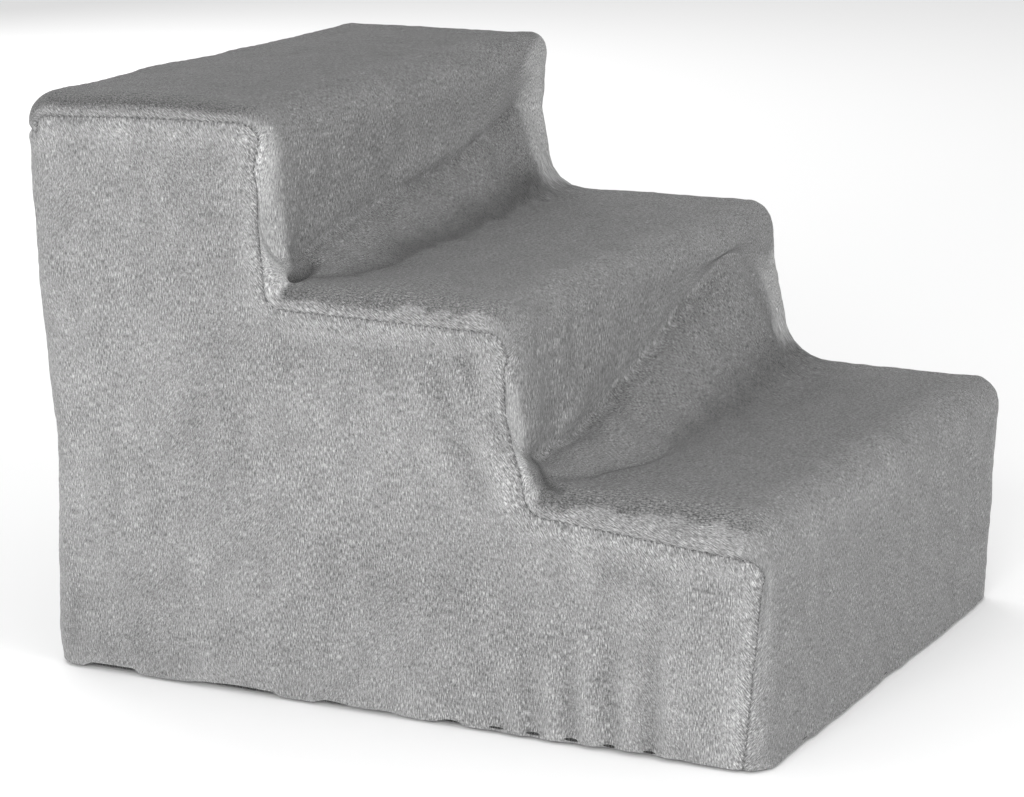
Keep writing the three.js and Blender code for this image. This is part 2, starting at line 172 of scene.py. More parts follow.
def lower_bridge(x):
    """Where the lower riser's slack leaves the tread, forward of the riser, and how high it meets it."""
    forward = between(x, [-184, -160, -115, 60, 120, 185], [14, 36, 52, 50, 44, 12])
    knee = between(x, [-192, -165, -115, -77, -40, -2, 29, 56, 115, 185],
                   [18, 9, 12, 20, 32, 44, 54, 64, 80, 64])
    return forward, knee


def upper_bridge(x):
    """The same for the upper riser."""
    forward = between(x, [-192, -176, -150, -114, -36, 44, 131, 185], [2, 14, 36, 42, 37, 32, 20, 2])
    knee = between(x, [-192, -165, -151, -126, -76, -23, 46, 105, 150, 180],
                   [14, 8, 8, 13, 21, 29, 36, 50, 64, 62])
    return forward, knee


BRIDGES = (lower_bridge, upper_bridge)


def outline_corners(x):
    """The stair's section at each x: (y, z, radius) at each corner, from the front hem to the back.

    Behind each tread the slack cloth bridges the corner and meets the riser above it."""
    (lower_out, lower_knee), (upper_out, upper_knee) = lower_bridge(x), upper_bridge(x)
    corners = [
        (FOOT_OF_FRONT, HEM_LEVEL, 0),
        (FRONT, TREADS[0], between(x, [90, 185], [NOSE, 17])),
        (NOSES[1] - lower_out, TREADS[0], between(x, [-190, -150, 0, 120, 185], [8, 12, 22, 30, 40])),
        (NOSES[1] + between(x, [-184, -150, 0, 185], [-4, 2, 2, -3]), TREADS[0] + lower_knee,
         between(x, [-190, -60, 0, 120, 185], [7, 9, 14, 22, 30])),
        (NOSES[1], TREADS[1], between(x, [90, 185], [NOSE, 18])),
        (NOSES[2] - upper_out, TREADS[1], between(x, [-190, -150, 60, 140, 185], [4, 7, 9, 16, 30])),
        (NOSES[2] + between(x, [-184, -150, 0, 180], [-3, 4, 6, 9]), TREADS[1] + upper_knee,
         between(x, [-190, -60, 0, 120, 180], [6, 9, 12, 16, 34])),
        (NOSES[2], TREADS[2], between(x, [90, 185], [NOSE, 12])),
        (BACK, TREADS[2], EDGE),
        (BACK, TREADS[2] - BACK_DROP, 0),
    ]
    return [[value * np.ones(x.shape) for value in corner] for corner in corners]


def seam_corners(sign):
    """The seam between the step strip and a side panel, seen from the side, corner for corner."""
    drawn_in = 11 if sign > 0 else 0
    inner = EDGE - SEAM_DROP
    return [
        (FOOT_OF_FRONT + 14, HEM_LEVEL, 0),
        (FRONT + 5, TREADS[0] - 29, 13),
        (NOSES[1] - 8, TREADS[0] - 17, 14),
        (NOSES[1] + 6, TREADS[0] + 46, 60),
        (NOSES[1] + 5, TREADS[1] - 17, 12),
        (NOSES[2] + 1 + 0.6 * drawn_in, TREADS[1] - 15, 12),
        (NOSES[2] + 4 + drawn_in, TREADS[1] + 44, 60),
        (NOSES[2] + 4 + 0.6 * drawn_in, TREADS[2] - 10, 12),
        (BACK - SEAM_DROP, TREADS[2] - SEAM_DROP, inner),
        (BACK - SEAM_DROP, TREADS[2] - BACK_DROP, 0),
    ]


def traced(corners, counts):
    """Points along a line with rounded corners. counts gives how many steps each straight and arc has."""
    points = [np.stack([np.asarray(y, float), np.asarray(z, float)], -1) for y, z, _ in corners]
    radii = [np.asarray(corner[2], float) for corner in corners]
    pieces = []
    last = points[0]
    for i in range(1, len(points)):
        inward = points[i] - points[i - 1]
        inward = inward / np.linalg.norm(inward, axis=-1, keepdims=True)
        is_end = i == len(points) - 1
        start = end = points[i]
        if not is_end:
            outward = points[i + 1] - points[i]
            outward = outward / np.linalg.norm(outward, axis=-1, keepdims=True)
            cross = inward[..., 0] * outward[..., 1] - inward[..., 1] * outward[..., 0]
            turn = np.arctan2(cross, (inward * outward).sum(-1))
            reach = (radii[i] * np.tan(np.abs(turn) / 2))[..., None]
            start = points[i] - inward * reach
            end = points[i] + outward * reach
        steps = counts[2 * i - 2]
        pieces += [last + (start - last) * (k / steps) for k in range(steps)]
        if not is_end:
            steps = counts[2 * i - 1]
            across = np.stack([-inward[..., 1], inward[..., 0]], -1) * np.sign(turn)[..., None]
            centre = start + across * radii[i][..., None]
            spoke = start - centre
            for k in range(steps):
                cos, sin = np.cos(turn * k / steps), np.sin(turn * k / steps)
                turned_y = spoke[..., 0] * cos - spoke[..., 1] * sin
                turned_z = spoke[..., 0] * sin + spoke[..., 1] * cos
                pieces.append(centre + np.stack([turned_y, turned_z], -1))
        last = end
    pieces.append(last)
    return np.stack(pieces)


def step_counts(corners):
    """How many steps each straight and each arc takes, for even rows on the stair's middle section."""
    middle = [tuple(float(np.asarray(value).ravel()[0]) for value in corner) for corner in corners]
    counts = []
    last = np.array(middle[0][:2])
    for i in range(1, len(middle)):
        at = np.array(middle[i][:2])
        reach, turn, outward = 0.0, 0.0, np.zeros(2)
        inward = (at - middle[i - 1][:2]) / np.linalg.norm(at - middle[i - 1][:2])
        if i < len(middle) - 1:
            outward = (np.array(middle[i + 1][:2]) - at) / np.linalg.norm(middle[i + 1][:2] - at)
            turn = abs(math.acos(float(np.clip(inward @ outward, -1, 1))))
            reach = middle[i][2] * math.tan(turn / 2)
        counts.append(max(2, round(float(np.linalg.norm(at - inward * reach - last)) / ROW_STEP)))
        if i < len(middle) - 1:
            counts.append(max(4, round(middle[i][2] * turn / ROW_STEP)))
        last = at + outward * reach
    return counts


COUNTS = step_counts(outline_corners(np.zeros(1)))
ARC_STARTS = [sum(COUNTS[:k + 1]) for k in range(len(COUNTS))]


def row_of(corner, end=False):
    """The row where the arc at a corner of the section starts, or ends."""
    return ARC_STARTS[2 * corner - 2 + (1 if end else 0)]


# ---- The step strip of the cover ----

def section_rows(x):
    """The section's rows at each x, as an array of rows by columns by (y, z)."""
    return traced(outline_corners(x), COUNTS)


def inset_at(depth, radius):
    """How far an edge's rounding pulls the surface in, at a depth from the outline."""
    depth = np.clip(depth, 0, radius)
    return radius - np.sqrt(np.maximum(radius ** 2 - (radius - depth) ** 2, 0))


def near_back(y):
    """How far a place shares in the back's bow, 0 to 1."""
    return smooth(y, BACK - 75, BACK - 10)


def bowed(y, z):
    """The back cloth is drawn in between its rails, and the rear edges with it."""
    bow = between(z, [0, 20, 60, 135, 200, 260, 335], [4, 2.5, 4, 7.5, 4, 0, -2.5])
    return y - bow * near_back(y)


def normals_of(grid):
    """Unit normals of a grid of points, from its differences."""
    across = np.gradient(grid, axis=1)
    along = np.gradient(grid, axis=0)
    normal = np.cross(across, along)
    return normal / np.maximum(np.linalg.norm(normal, axis=-1, keepdims=True), 1e-9)


def strip_edge(sign, radius):
    """One side of the strip, round the stair's side edge to the seam: points, flat x, distance to it."""
    corners = [[np.atleast_1d(value) for value in corner] for corner in seam_corners(sign)]
    seam = traced(corners, COUNTS)[:, 0]
    flat = HALF - radius
    outline = section_rows(np.array([sign * flat]))[:, 0]
    reach = seam - outline
    length = np.linalg.norm(reach, axis=-1)
    direction = reach / length[:, None]
    bend = radius * np.arccos(np.clip(1 - length / radius, 0, 1))
    total = bend + np.maximum(length - radius, 0)
    walked = total[:, None] * (np.arange(1, SIDE_COLUMNS + 1) / SIDE_COLUMNS)[None, :]
    angle = np.minimum(walked, bend[:, None]) / radius
    depth = radius * (1 - np.cos(angle)) + walked - angle * radius
    points = outline[:, None, :] + direction[:, None, :] * depth[..., None]
    x = sign * (flat + radius * np.sin(angle))
    parts = np.concatenate([x[..., None], points], -1), sign * (flat + walked), total[:, None] - walked
    return [part[:, ::-1] if sign < 0 else part for part in parts], total


def strip_base():
    """The step strip before any folds, with its own flat coordinates and its distance from a seam."""
    low, high = ROUNDING[-1] - HALF, HALF - ROUNDING[1]
    middle_x = np.linspace(low, high, round((high - low) / COLUMN_STEP) + 1)
    middle = section_rows(middle_x)
    inner_x = np.broadcast_to(middle_x, middle.shape[:2])
    middle = np.concatenate([inner_x[..., None], middle], -1)
    (left, left_u, left_far), left_total = strip_edge(-1, ROUNDING[-1])
    (right, right_u, right_far), right_total = strip_edge(1, ROUNDING[1])
    from_left = left_total[:, None] + (middle_x - low)[None, :]
    from_right = right_total[:, None] + (high - middle_x)[None, :]
    base = np.concatenate([left, middle, right], 1)
    u = np.concatenate([left_u, inner_x, right_u], 1)
    seamward = np.concatenate([left_far, np.minimum(from_left, from_right), right_far], 1)
    base[..., 1] = bowed(base[..., 1], base[..., 2])
    return base, u, seamward


def row_numbers(base):
    """The row that each point of the strip lies in."""
    return np.arange(base.shape[0])[:, None] * np.ones(base.shape[1])


def riser_places(base, level):
    """Places round the inner corner behind a tread: x, the way up the riser, and a mask over both.

    Below 0, the way up goes out along the tread."""
    rows = row_numbers(base)
    first, last = row_of(3 * level + 1, True), row_of(3 * level + 4)
    up = (base[..., 2] - TREADS[level]) + (base[..., 1] - NOSES[level + 1])
    return base[..., 0], up, plateau(rows, first, first + 12, last - 10, last)


PLACES = np.arange(-176, 181, 8)
LOWER_VALLEY = list(zip(PLACES, lower_bridge(PLACES)[1] + 2))
UPPER_CREASE = list(zip(PLACES, upper_bridge(PLACES)[1] + 6))
LOWER_TUCK = [(-180, 14), (-184, -8), (-188, -26)]


def lower_riser_folds(x, up):
    """The slack of the lower riser: a tuck at the left end, and a valley that climbs to the right."""
    height = folded(x, up, [
        (LOWER_TUCK, -2.0, 4.5, (0.3, 1.0)),
        ([(-150, 8), (-132, 20), (-104, 38), (-56, 62)], 4.0, 10, (0.8, 0.3)),
        ([(-174, 40), (-160, 70), (-150, 90)], 2.0, 8, (0.8, 0.3))])
    height += (1 - smooth(x, 50, 120)) * fold(x, up, LOWER_VALLEY, -4.5, 7, (1.0, 0.8))
    return folded(x, up, [
        ([(20, 84), (70, 92), (120, 98)], -1.2, 8, (0.3, 1.0)),
        ([(176, 8), (160, 30), (150, 60)], 2.2, 7, (0.6, 1.0)),
        ([(150, -22), (144, 10), (134, 50)], -2.0, 7, (0.6, 1.0))], height)


def upper_riser_folds(x, up):
    """The slack of the upper riser: a lapped crease that falls from the right to the left."""
    return folded(x, up, [
        (UPPER_CREASE, -4.0, 3.2, (0.4, 1.0), CRISP),
        ([(156, 84), (126, 74), (92, 60), (48, 52), (-20, 44)], 5.5, 9, (0.3, 0.6)),
        ([(176, 16), (166, 34), (160, 56)], 2.0, 7, (0.8, 0.4)),
        ([(-180, -8), (-166, -6), (-150, 0)], -10.0, 5, (1.0, 0.4)),
        ([(-176, 10), (-162, 36), (-150, 60)], 2.5, 8, (0.9, 0.3)),
        ([(-140, 20), (-110, 34), (-70, 44)], 2.0, 8, (0.9, 0.3))])


def front_folds(x, z):
    """Faint slanting streaks where the front hangs from its nosing."""
    return folded(x, z, [
        ([(60, 128), (96, 74), (120, 20)], -1.6, 9, (0.6, 1.0)),
        ([(-40, 122), (-16, 70), (-6, 16)], -1.4, 10, (0.4, 1.0)),
        ([(130, 136), (160, 90), (176, 40)], 1.6, 9, (1.0, 0.5)),
        ([(-130, 60), (-122, 6)], 1.5, 8, (0.3, 1.0)),
        ([(20, 50), (26, 4)], 1.2, 8, (0.3, 1.0))])


def stitched(distance, along):
    """The groove of a seam, with a pit at each stitch."""
    pit = 0.5 + 0.5 * np.cos(along * 2 * math.pi / STITCH)
    groove = -GROOVE * np.exp(-(distance / GROOVE_WIDTH) ** 2)
    return groove - PIT * pit * np.exp(-(distance / PIT_WIDTH) ** 2)


def length_along(points):
    """The distance walked to each of a row of points."""
    steps = np.linalg.norm(np.diff(points, axis=0), axis=-1)
    return np.concatenate([[0], np.cumsum(steps)])


def frame_tree():
    """Everything that the cover lies on, for measuring its clearance."""
    points, faces = [], []
    for name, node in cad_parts.items():
        if name.endswith(("_board", "_pad", "_rail", "_side_panel")):
            first = len(points)
            points += [vertex.co / MM for vertex in node.data.vertices]
            faces += [[first + index for index in face.vertices] for face in node.data.polygons]
    return BVHTree.FromPolygons(points, faces)


CORE_TREE = frame_tree()
CLEARANCE = 0.9
LIFT_REACH = 4  # rows and columns over which a lift is eased out


def needed_lift(points, normal):
    """How far each point of the cover must move out along its normal to clear the frame and the pads."""
    lift = np.zeros(len(points))
    for index, (point, out) in enumerate(zip(points, normal)):
        place, _, _, distance = CORE_TREE.ray_cast(point + out * EDGE, -out, EDGE + CLEARANCE)
        if place is not None:
            lift[index] = EDGE + CLEARANCE - distance
            continue
        place, _, _, distance = CORE_TREE.find_nearest(point, CLEARANCE)
        if place is not None:
            lift[index] = CLEARANCE - distance
    return lift


def spread_out(lift, reach):
    """Eases a lift over a grid out into its surroundings, without lowering it."""
    for axis in (0, 1):
        lift = np.max([np.roll(lift, shift, axis) for shift in range(-reach, reach + 1)], axis=0)
    for axis in (0, 1):
        lift = np.mean([np.roll(lift, shift, axis) for shift in range(-reach, reach + 1)], axis=0)
    return lift


def kept_outside(points, normal):
    """Lifts a grid of the cover's points clear of the frame and the pads."""
    lift = needed_lift(points.reshape(-1, 3), normal.reshape(-1, 3)).reshape(points.shape[:2])
    return points + normal * spread_out(lift, LIFT_REACH)[..., None]


TREAD_CROWNS = (0.8, 1.2, 2.4)  # how far the plush swells over the pad of each tread


def strip_surface():
    """The step strip with its folds, and what its material needs to know."""
    base, u, seamward = strip_base()
    normal = normals_of(base)
    rows = row_numbers(base)
    centre_line = base[:, base.shape[1] // 2]
    v = length_along(centre_line)[:, None] * np.ones(base.shape[1])
    height = unevenness(u, v, 5)
    for level, riser_folds in enumerate((lower_riser_folds, upper_riser_folds)):
        x, up, mask = riser_places(base, level)
        height += mask * riser_folds(x, up)
    on_front = 1 - smooth(rows, row_of(1), row_of(1, True))
    height += on_front * front_folds(base[..., 0], base[..., 2])
    for corner, crown in zip((1, 4, 7), TREAD_CROWNS):
        first, last = row_of(corner, True), row_of(corner + 1)
        on_tread = plateau(rows, first - 6, first + 26, last - 26, last)
        height += crown * on_tread * (1 - 0.7 * smooth(base[..., 0], 90, 180))
    height += stitched(seamward, v)
    end = base.shape[0] - 1
    edge_rows = plateau(rows, 0, 2, end - 3, end)
    height = np.where(rows > end - 7, stitched(v[-1, 0] - v, u) + height * edge_rows, height)
    points = kept_outside(base + normal * height[..., None], normal)
    points[..., 2] = np.maximum(points[..., 2], HEM_LEVEL)
    return points, u, v, seamward, base


# ---- The side panels ----

def side_place(a, z, depth, sign):
    """A point of a side face. a runs back along the side and then round the rear edge."""
    angle = np.maximum(a - (BACK - EDGE), 0) / EDGE
    inset = inset_at(depth, ROUNDING[sign])
    x = HALF - EDGE + (EDGE - inset) * np.cos(angle)
    y = np.where(angle > 0, BACK - EDGE + (EDGE - inset) * np.sin(angle), a)
    return np.stack([sign * x, bowed(y, z), z], -1)


def side_flat(point, sign):
    """Where a point of the cover lies in a side panel's own coordinates (a, z)."""
    x, y, z = sign * point[..., 0], point[..., 1], point[..., 2]
    bow = bowed(np.full(y.shape, BACK), z) - BACK
    y = y - bow * near_back(y)
    angle = np.arctan2(np.maximum(y - (BACK - EDGE), 0), np.maximum(x - (HALF - EDGE), 1e-6))
    return np.stack([np.where(y > BACK - EDGE, BACK - EDGE + EDGE * angle, y), z], -1)


def left_side_folds(a, z):
    """The left side's creases: a drag below the middle nosing and upright wrinkles at the lower front."""
    drag = [(-56, 232), (-65, 215), (-73, 207), (-81, 186), (-91, 168), (-98, 152)]
    height = folded(a, z, [
        (drag, -4.2, 5, (0.5, 1.0), CRISP),
        ([(-50, 222), (-60, 196), (-72, 172), (-84, 152)], 3.0, 8, (0.4, 1.0)),
        ([(-36, 236), (-42, 210), (-52, 186), (-66, 160)], -2.6, 9, (0.7, 0.8)),
        ([(-22, 190), (-40, 164), (-62, 142)], 2.2, 9, (0.4, 1.0)),
        ([(110, 250), (112, 200), (108, 160)], -1.6, 8, (0.5, 0.6)),
        ([(78, 262), (72, 240), (66, 200)], -1.5, 7, (1.0, 0.3))])
    for foot, top, lean, strength in ((-112, 82, 6, 2.2), (-138, 78, 2, 2.6), (-163, 86, -2, 2.2),
                                      (-190, 92, -4, 2.6), (-88, 50, 8, 1.5)):
        ridge = [(foot + lean, top), (foot, top * 0.45), (foot - 1, 0)]
        valley = [(foot + 13 + lean, top), (foot + 12, 0)]
        height = folded(a, z, [(ridge, 1.4 * strength, 5.5, (0.1, 1.0)),
                               (valley, -1.2 * strength, 5.5, (0.1, 1.0))], height)
    return folded(a, z, [
        ([(-112, 66), (-106, 58)], -2.0, 4),
        ([(236, 84), (234, 50), (240, 20)], -3.0, 9, (0.3, 1.0)),
        ([(228, 44), (150, 40), (90, 30)], -1.8, 11, (1.0, 0.2)),
        ([(60, 110), (0, 96), (-60, 90)], -1.2, 16)], height)


def right_side_folds(a, z):
    """The right side's creases: drags below both nosings and a few upright wrinkles along the hem."""
    height = folded(a, z, [
        ([(-34, 226), (-60, 186), (-92, 156)], -2.6, 6, (0.3, 1.0), CRISP),
        ([(-70, 236), (-84, 190)], 2.6, 8, (0.4, 1.0)),
        ([(140, 336), (106, 296), (80, 266)], -2.4, 6, (0.3, 1.0), CRISP),
        ([(110, 346), (92, 300)], 2.2, 8, (0.4, 1.0))])
    for foot, top, lean, strength in ((-196, 70, 5, 2.2), (-150, 84, -4, 2.0), (-96, 60, 3, 1.8),
                                      (-20, 74, -5, 2.2), (62, 64, 4, 1.8), (150, 88, -3, 2.2)):
        ridge = [(foot + lean, top), (foot, 0)]
        valley = [(foot + 14 + lean, top), (foot + 13, 0)]
        height = folded(a, z, [(ridge, strength, 6, (0.1, 1.0)),
                               (valley, -0.8 * strength, 6, (0.1, 1.0))], height)
    return folded(a, z, [
        ([(226, 120), (232, 60), (238, 20)], -2.6, 10, (0.3, 1.0)),
        ([(60, 180), (0, 150), (-60, 128)], -1.3, 16)], height)


BATCH = 4096  # points measured at once, to spare memory


def distance_to(points, line):
    """The distance from each point to a line of points, and the index of its nearest point."""
    start, step = line[:-1], line[1:] - line[:-1]
    square = np.maximum((step ** 2).sum(-1), 1e-9)
    distances = np.empty(len(points))
    nearest = np.empty(len(points), int)
    for low in range(0, len(points), BATCH):
        part = points[low:low + BATCH, None, :] - start[None]
        t = np.clip((part * step[None]).sum(-1) / square, 0, 1)
        gaps = ((part - t[..., None] * step[None]) ** 2).sum(-1)
        best = gaps.argmin(1)
        rows = np.arange(len(best))
        distances[low:low + BATCH] = np.sqrt(gaps[rows, best])
        nearest[low:low + BATCH] = best + (t[rows, best] > 0.5)
    return distances, nearest


BACK_TURN = math.acos((EDGE - BACK_SEAM) / EDGE)
BACK_A = BACK - EDGE + EDGE * BACK_TURN
BACK_TOP = TOP - BACK_DROP
BACK_LEVELS = np.linspace(BACK_TOP, HEM_LEVEL, round((BACK_TOP - HEM_LEVEL) / 2.2) + 1)


def back_seam_line(sign):
    """The upright seam between a side panel and the back, as points in space."""
    level = np.full(BACK_LEVELS.shape, EDGE)
    points = side_place(np.full(BACK_LEVELS.shape, BACK_A), BACK_LEVELS, level, sign)
    outward = np.array([sign * math.cos(BACK_TURN), math.sin(BACK_TURN), 0])
    return points + outward * stitched(np.zeros(BACK_LEVELS.shape), BACK_LEVELS)[:, None]


def triangle_normals(points, faces):
    """A unit normal at each point of a mesh of triangles."""
    corners = points[faces]
    face_normal = np.cross(corners[:, 1] - corners[:, 0], corners[:, 2] - corners[:, 0])
    normal = np.zeros(points.shape)
    for k in range(3):
        np.add.at(normal, faces[:, k], face_normal)
    return normal / np.maximum(np.linalg.norm(normal, axis=1, keepdims=True), 1e-12)


def side_loop(sign, strip):
    """Points round a side panel, in space: the step seam, the back's top, the back seam and the hem."""
    seam = strip[:, 0 if sign < 0 else -1]
    last_row = strip[-1] if sign < 0 else strip[-1, ::-1]
    across = last_row[1:][sign * last_row[1:, 0] > HALF - BACK_SEAM + 0.8]
    back_line = back_seam_line(sign)
    front_a = float(side_flat(seam[:1], sign)[0, 0])
    hem_a = np.linspace(BACK_A, front_a, round((BACK_A - front_a) / 2.0) + 1)[1:-1]
    hem = side_place(hem_a, np.full(hem_a.shape, HEM_LEVEL), np.full(hem_a.shape, EDGE), sign)
    return np.concatenate([seam, across, back_line, hem]), len(seam) + len(across) + len(back_line)


def side_surface(sign, strip, folds, seed):
    """One side panel as triangles that meet the step strip and the back exactly."""
    loop_space, seam_count = side_loop(sign, strip)
    loop = side_flat(loop_space, sign)
    loop[seam_count - len(BACK_LEVELS):seam_count, 0] = BACK_A
    low, high = loop.min(0), loop.max(0)
    grid_a = np.arange(low[0] + PANEL_STEP, high[0], PANEL_STEP)
    grid_z = np.arange(low[1] + PANEL_STEP, high[1], PANEL_STEP)
    a, z = np.meshgrid(grid_a, grid_z)
    a = a + (np.arange(len(grid_z)) % 2)[:, None] * PANEL_STEP / 2
    inner = np.stack([a.ravel(), z.ravel()], -1)
    to_loop, _ = distance_to(inner, np.concatenate([loop, loop[:1]]))
    inner = inner[to_loop > 0.6 * PANEL_STEP]
    ring = list(range(len(loop)))
    edges = [(i, (i + 1) % len(loop)) for i in ring]
    places = [Vector(place) for place in np.concatenate([loop, inner])]
    made = delaunay_2d_cdt(places, edges, [ring], 1, 1e-4)
    flat = np.array([tuple(place) for place in made[0]])
    faces = np.array([tuple(face) for face in made[2]])
    source = np.array([min(ids) if ids else -1 for ids in made[3]])
    radius = ROUNDING[sign]
    outline = section_rows(np.array([sign * (HALF - radius)]))[:row_of(8) + 1, 0]
    outline = np.concatenate([[[outline[0, 0], -60.0]], outline, [[BACK_A + 40, TOP]]])
    depth, _ = distance_to(flat, outline)
    a, z = flat.T
    points = side_place(a, z, depth, sign)
    normal = triangle_normals(points, faces)
    if (normal[:, 0] * sign).mean() < 0:
        faces, normal = faces[:, ::-1], -normal
    to_seam, nearest = distance_to(flat, loop[:seam_count])
    walked = length_along(loop_space)[nearest]
    height = folds(a, z) + unevenness(a, z, seed)
    height = height * smooth(to_seam, 0, 7) * (0.35 + 0.65 * smooth(z, HEM_LEVEL, 10))
    points = points + normal * (height + stitched(to_seam, walked))[:, None]
    own = np.full(len(loop), -1)
    for index, first in enumerate(source):
        if 0 <= first < len(loop):
            own[first] = index
    own = np.where(own < 0, own.max(), own)
    points = points + normal * needed_lift(points, normal)[:, None]
    gap = loop_space[:seam_count] - points[own[:seam_count]]
    points = points + gap[nearest] * np.exp(-(to_seam / 6) ** 2)[:, None]
    on_loop = (source >= 0) & (source < seam_count)
    points[on_loop] = loop_space[source[on_loop]]
    points[:, 2] = np.maximum(points[:, 2], HEM_LEVEL - 0.2)
    rises = smooth(noise(a / 22, np.full(len(flat), seed / 3), 91), 0.0, 0.5)
    points[:, 2] += HEM_RISE * rises * smooth(to_seam, 4, 16) * (1 - smooth(points[:, 2], HEM_LEVEL, 20))
    return points, faces, flat, to_seam, walked


# ---- The back ----

def back_folds(x, z):
    """The back's creases: upright pulls from the upper rail, a few slanting drags, hem wrinkles."""
    height = folded(x, z, [
        ([(-120, 300), (-96, 210), (-60, 120)], -2.2, 9, (1.0, 0.3)),
        ([(-98, 296), (-76, 214)], 1.8, 8, (0.8, 0.3)),
        ([(90, 306), (72, 210), (74, 130)], -1.8, 10, (1.0, 0.3)),
        ([(0, 290), (12, 200), (6, 90)], 1.6, 12, (0.6, 0.4))])
    for foot in (-150, -88, -30, 44, 100, 152):
        height = folded(x, z, [([(foot - 4, 74), (foot, 4)], 1.9, 6, (0.1, 1.0)),
                               ([(foot + 10, 70), (foot + 13, 4)], -1.4, 6, (0.1, 1.0))], height)
    return height


def back_surface(strip):
    """The back panel, a grid that meets the strip's lower edge and both upright seams."""
    top_row = strip[-1]
    chosen = np.abs(top_row[:, 0]) < HALF - BACK_SEAM - 0.6
    edge = HALF - BACK_SEAM
    x = np.concatenate([[-edge], top_row[chosen, 0], [edge]])
    x, z = np.meshgrid(x, BACK_LEVELS)
    beyond = np.maximum(np.abs(x) - (HALF - EDGE), 0)
    y = bowed(BACK - EDGE + np.sqrt(EDGE ** 2 - beyond ** 2), z)
    y = y - 3.0 * smooth(np.abs(x), 170, 60) * plateau(z, 60, 110, 240, 292)
    points = np.stack([x, y, z], -1)
    to_side = edge - np.abs(x)
    to_top = BACK_TOP - z
    to_seam = np.minimum(to_side, to_top)
    along = np.where(to_side < to_top, z, x)
    fade = smooth(to_seam, 0, 8) * (0.35 + 0.65 * smooth(z, HEM_LEVEL, 10))
    height = (back_folds(x, z) + unevenness(x, z, 31)) * fade + stitched(to_seam, along)
    normal = normals_of(points)
    normal *= np.sign(normal[..., 1:2])
    points = kept_outside(points + normal * height[..., None], normal)
    points[0, 1:-1] = top_row[chosen]
    points[:, 0] = back_seam_line(-1)
    points[:, -1] = back_seam_line(1)
    return points, x, z, to_seam


# ---- Making pieces ----

def placed(name, data):
    """A new object in the scene."""
    made = bpy.data.objects.new(name, data)
    bpy.context.scene.collection.objects.link(made)
    return made


def add_piece(name, points, faces, material, attributes=None):
    """A smooth mesh object from points in millimetres, with named numbers on its points."""
    mesh = bpy.data.meshes.new(name)
    faces = np.asarray(faces)
    sides = faces.shape[1]
    mesh.vertices.add(len(points))
    mesh.vertices.foreach_set("co", (np.asarray(points) * MM).astype(np.float32).ravel())
    mesh.loops.add(faces.size)
    mesh.loops.foreach_set("vertex_index", faces.astype(np.int32).ravel())
    mesh.polygons.add(len(faces))
    mesh.polygons.foreach_set("loop_start", np.arange(0, faces.size, sides, dtype=np.int32))
    mesh.update(calc_edges=True)
    mesh.polygons.foreach_set("use_smooth", np.ones(len(faces), dtype=bool))
    for key, values in (attributes or {}).items():
        values = np.asarray(values, dtype=np.float32)
        kind = "FLOAT_VECTOR" if values.ndim == 2 else "FLOAT"
        layer = mesh.attributes.new(key, kind, "POINT")
        layer.data.foreach_set("vector" if kind == "FLOAT_VECTOR" else "value", values.ravel())
    mesh.materials.append(material)
    return placed(name, mesh)


def grid_faces(grid, flip=False):
    """Quads over a grid of point numbers."""
    quads = np.stack([grid[:-1, :-1], grid[:-1, 1:], grid[1:, 1:], grid[1:, :-1]], -1).reshape(-1, 4)
    return quads[:, ::-1] if flip else quads


def numbered(rows, columns, first=0):
    """A grid of point numbers."""
    return first + np.arange(rows * columns).reshape(rows, columns)


# ---- Materials ----

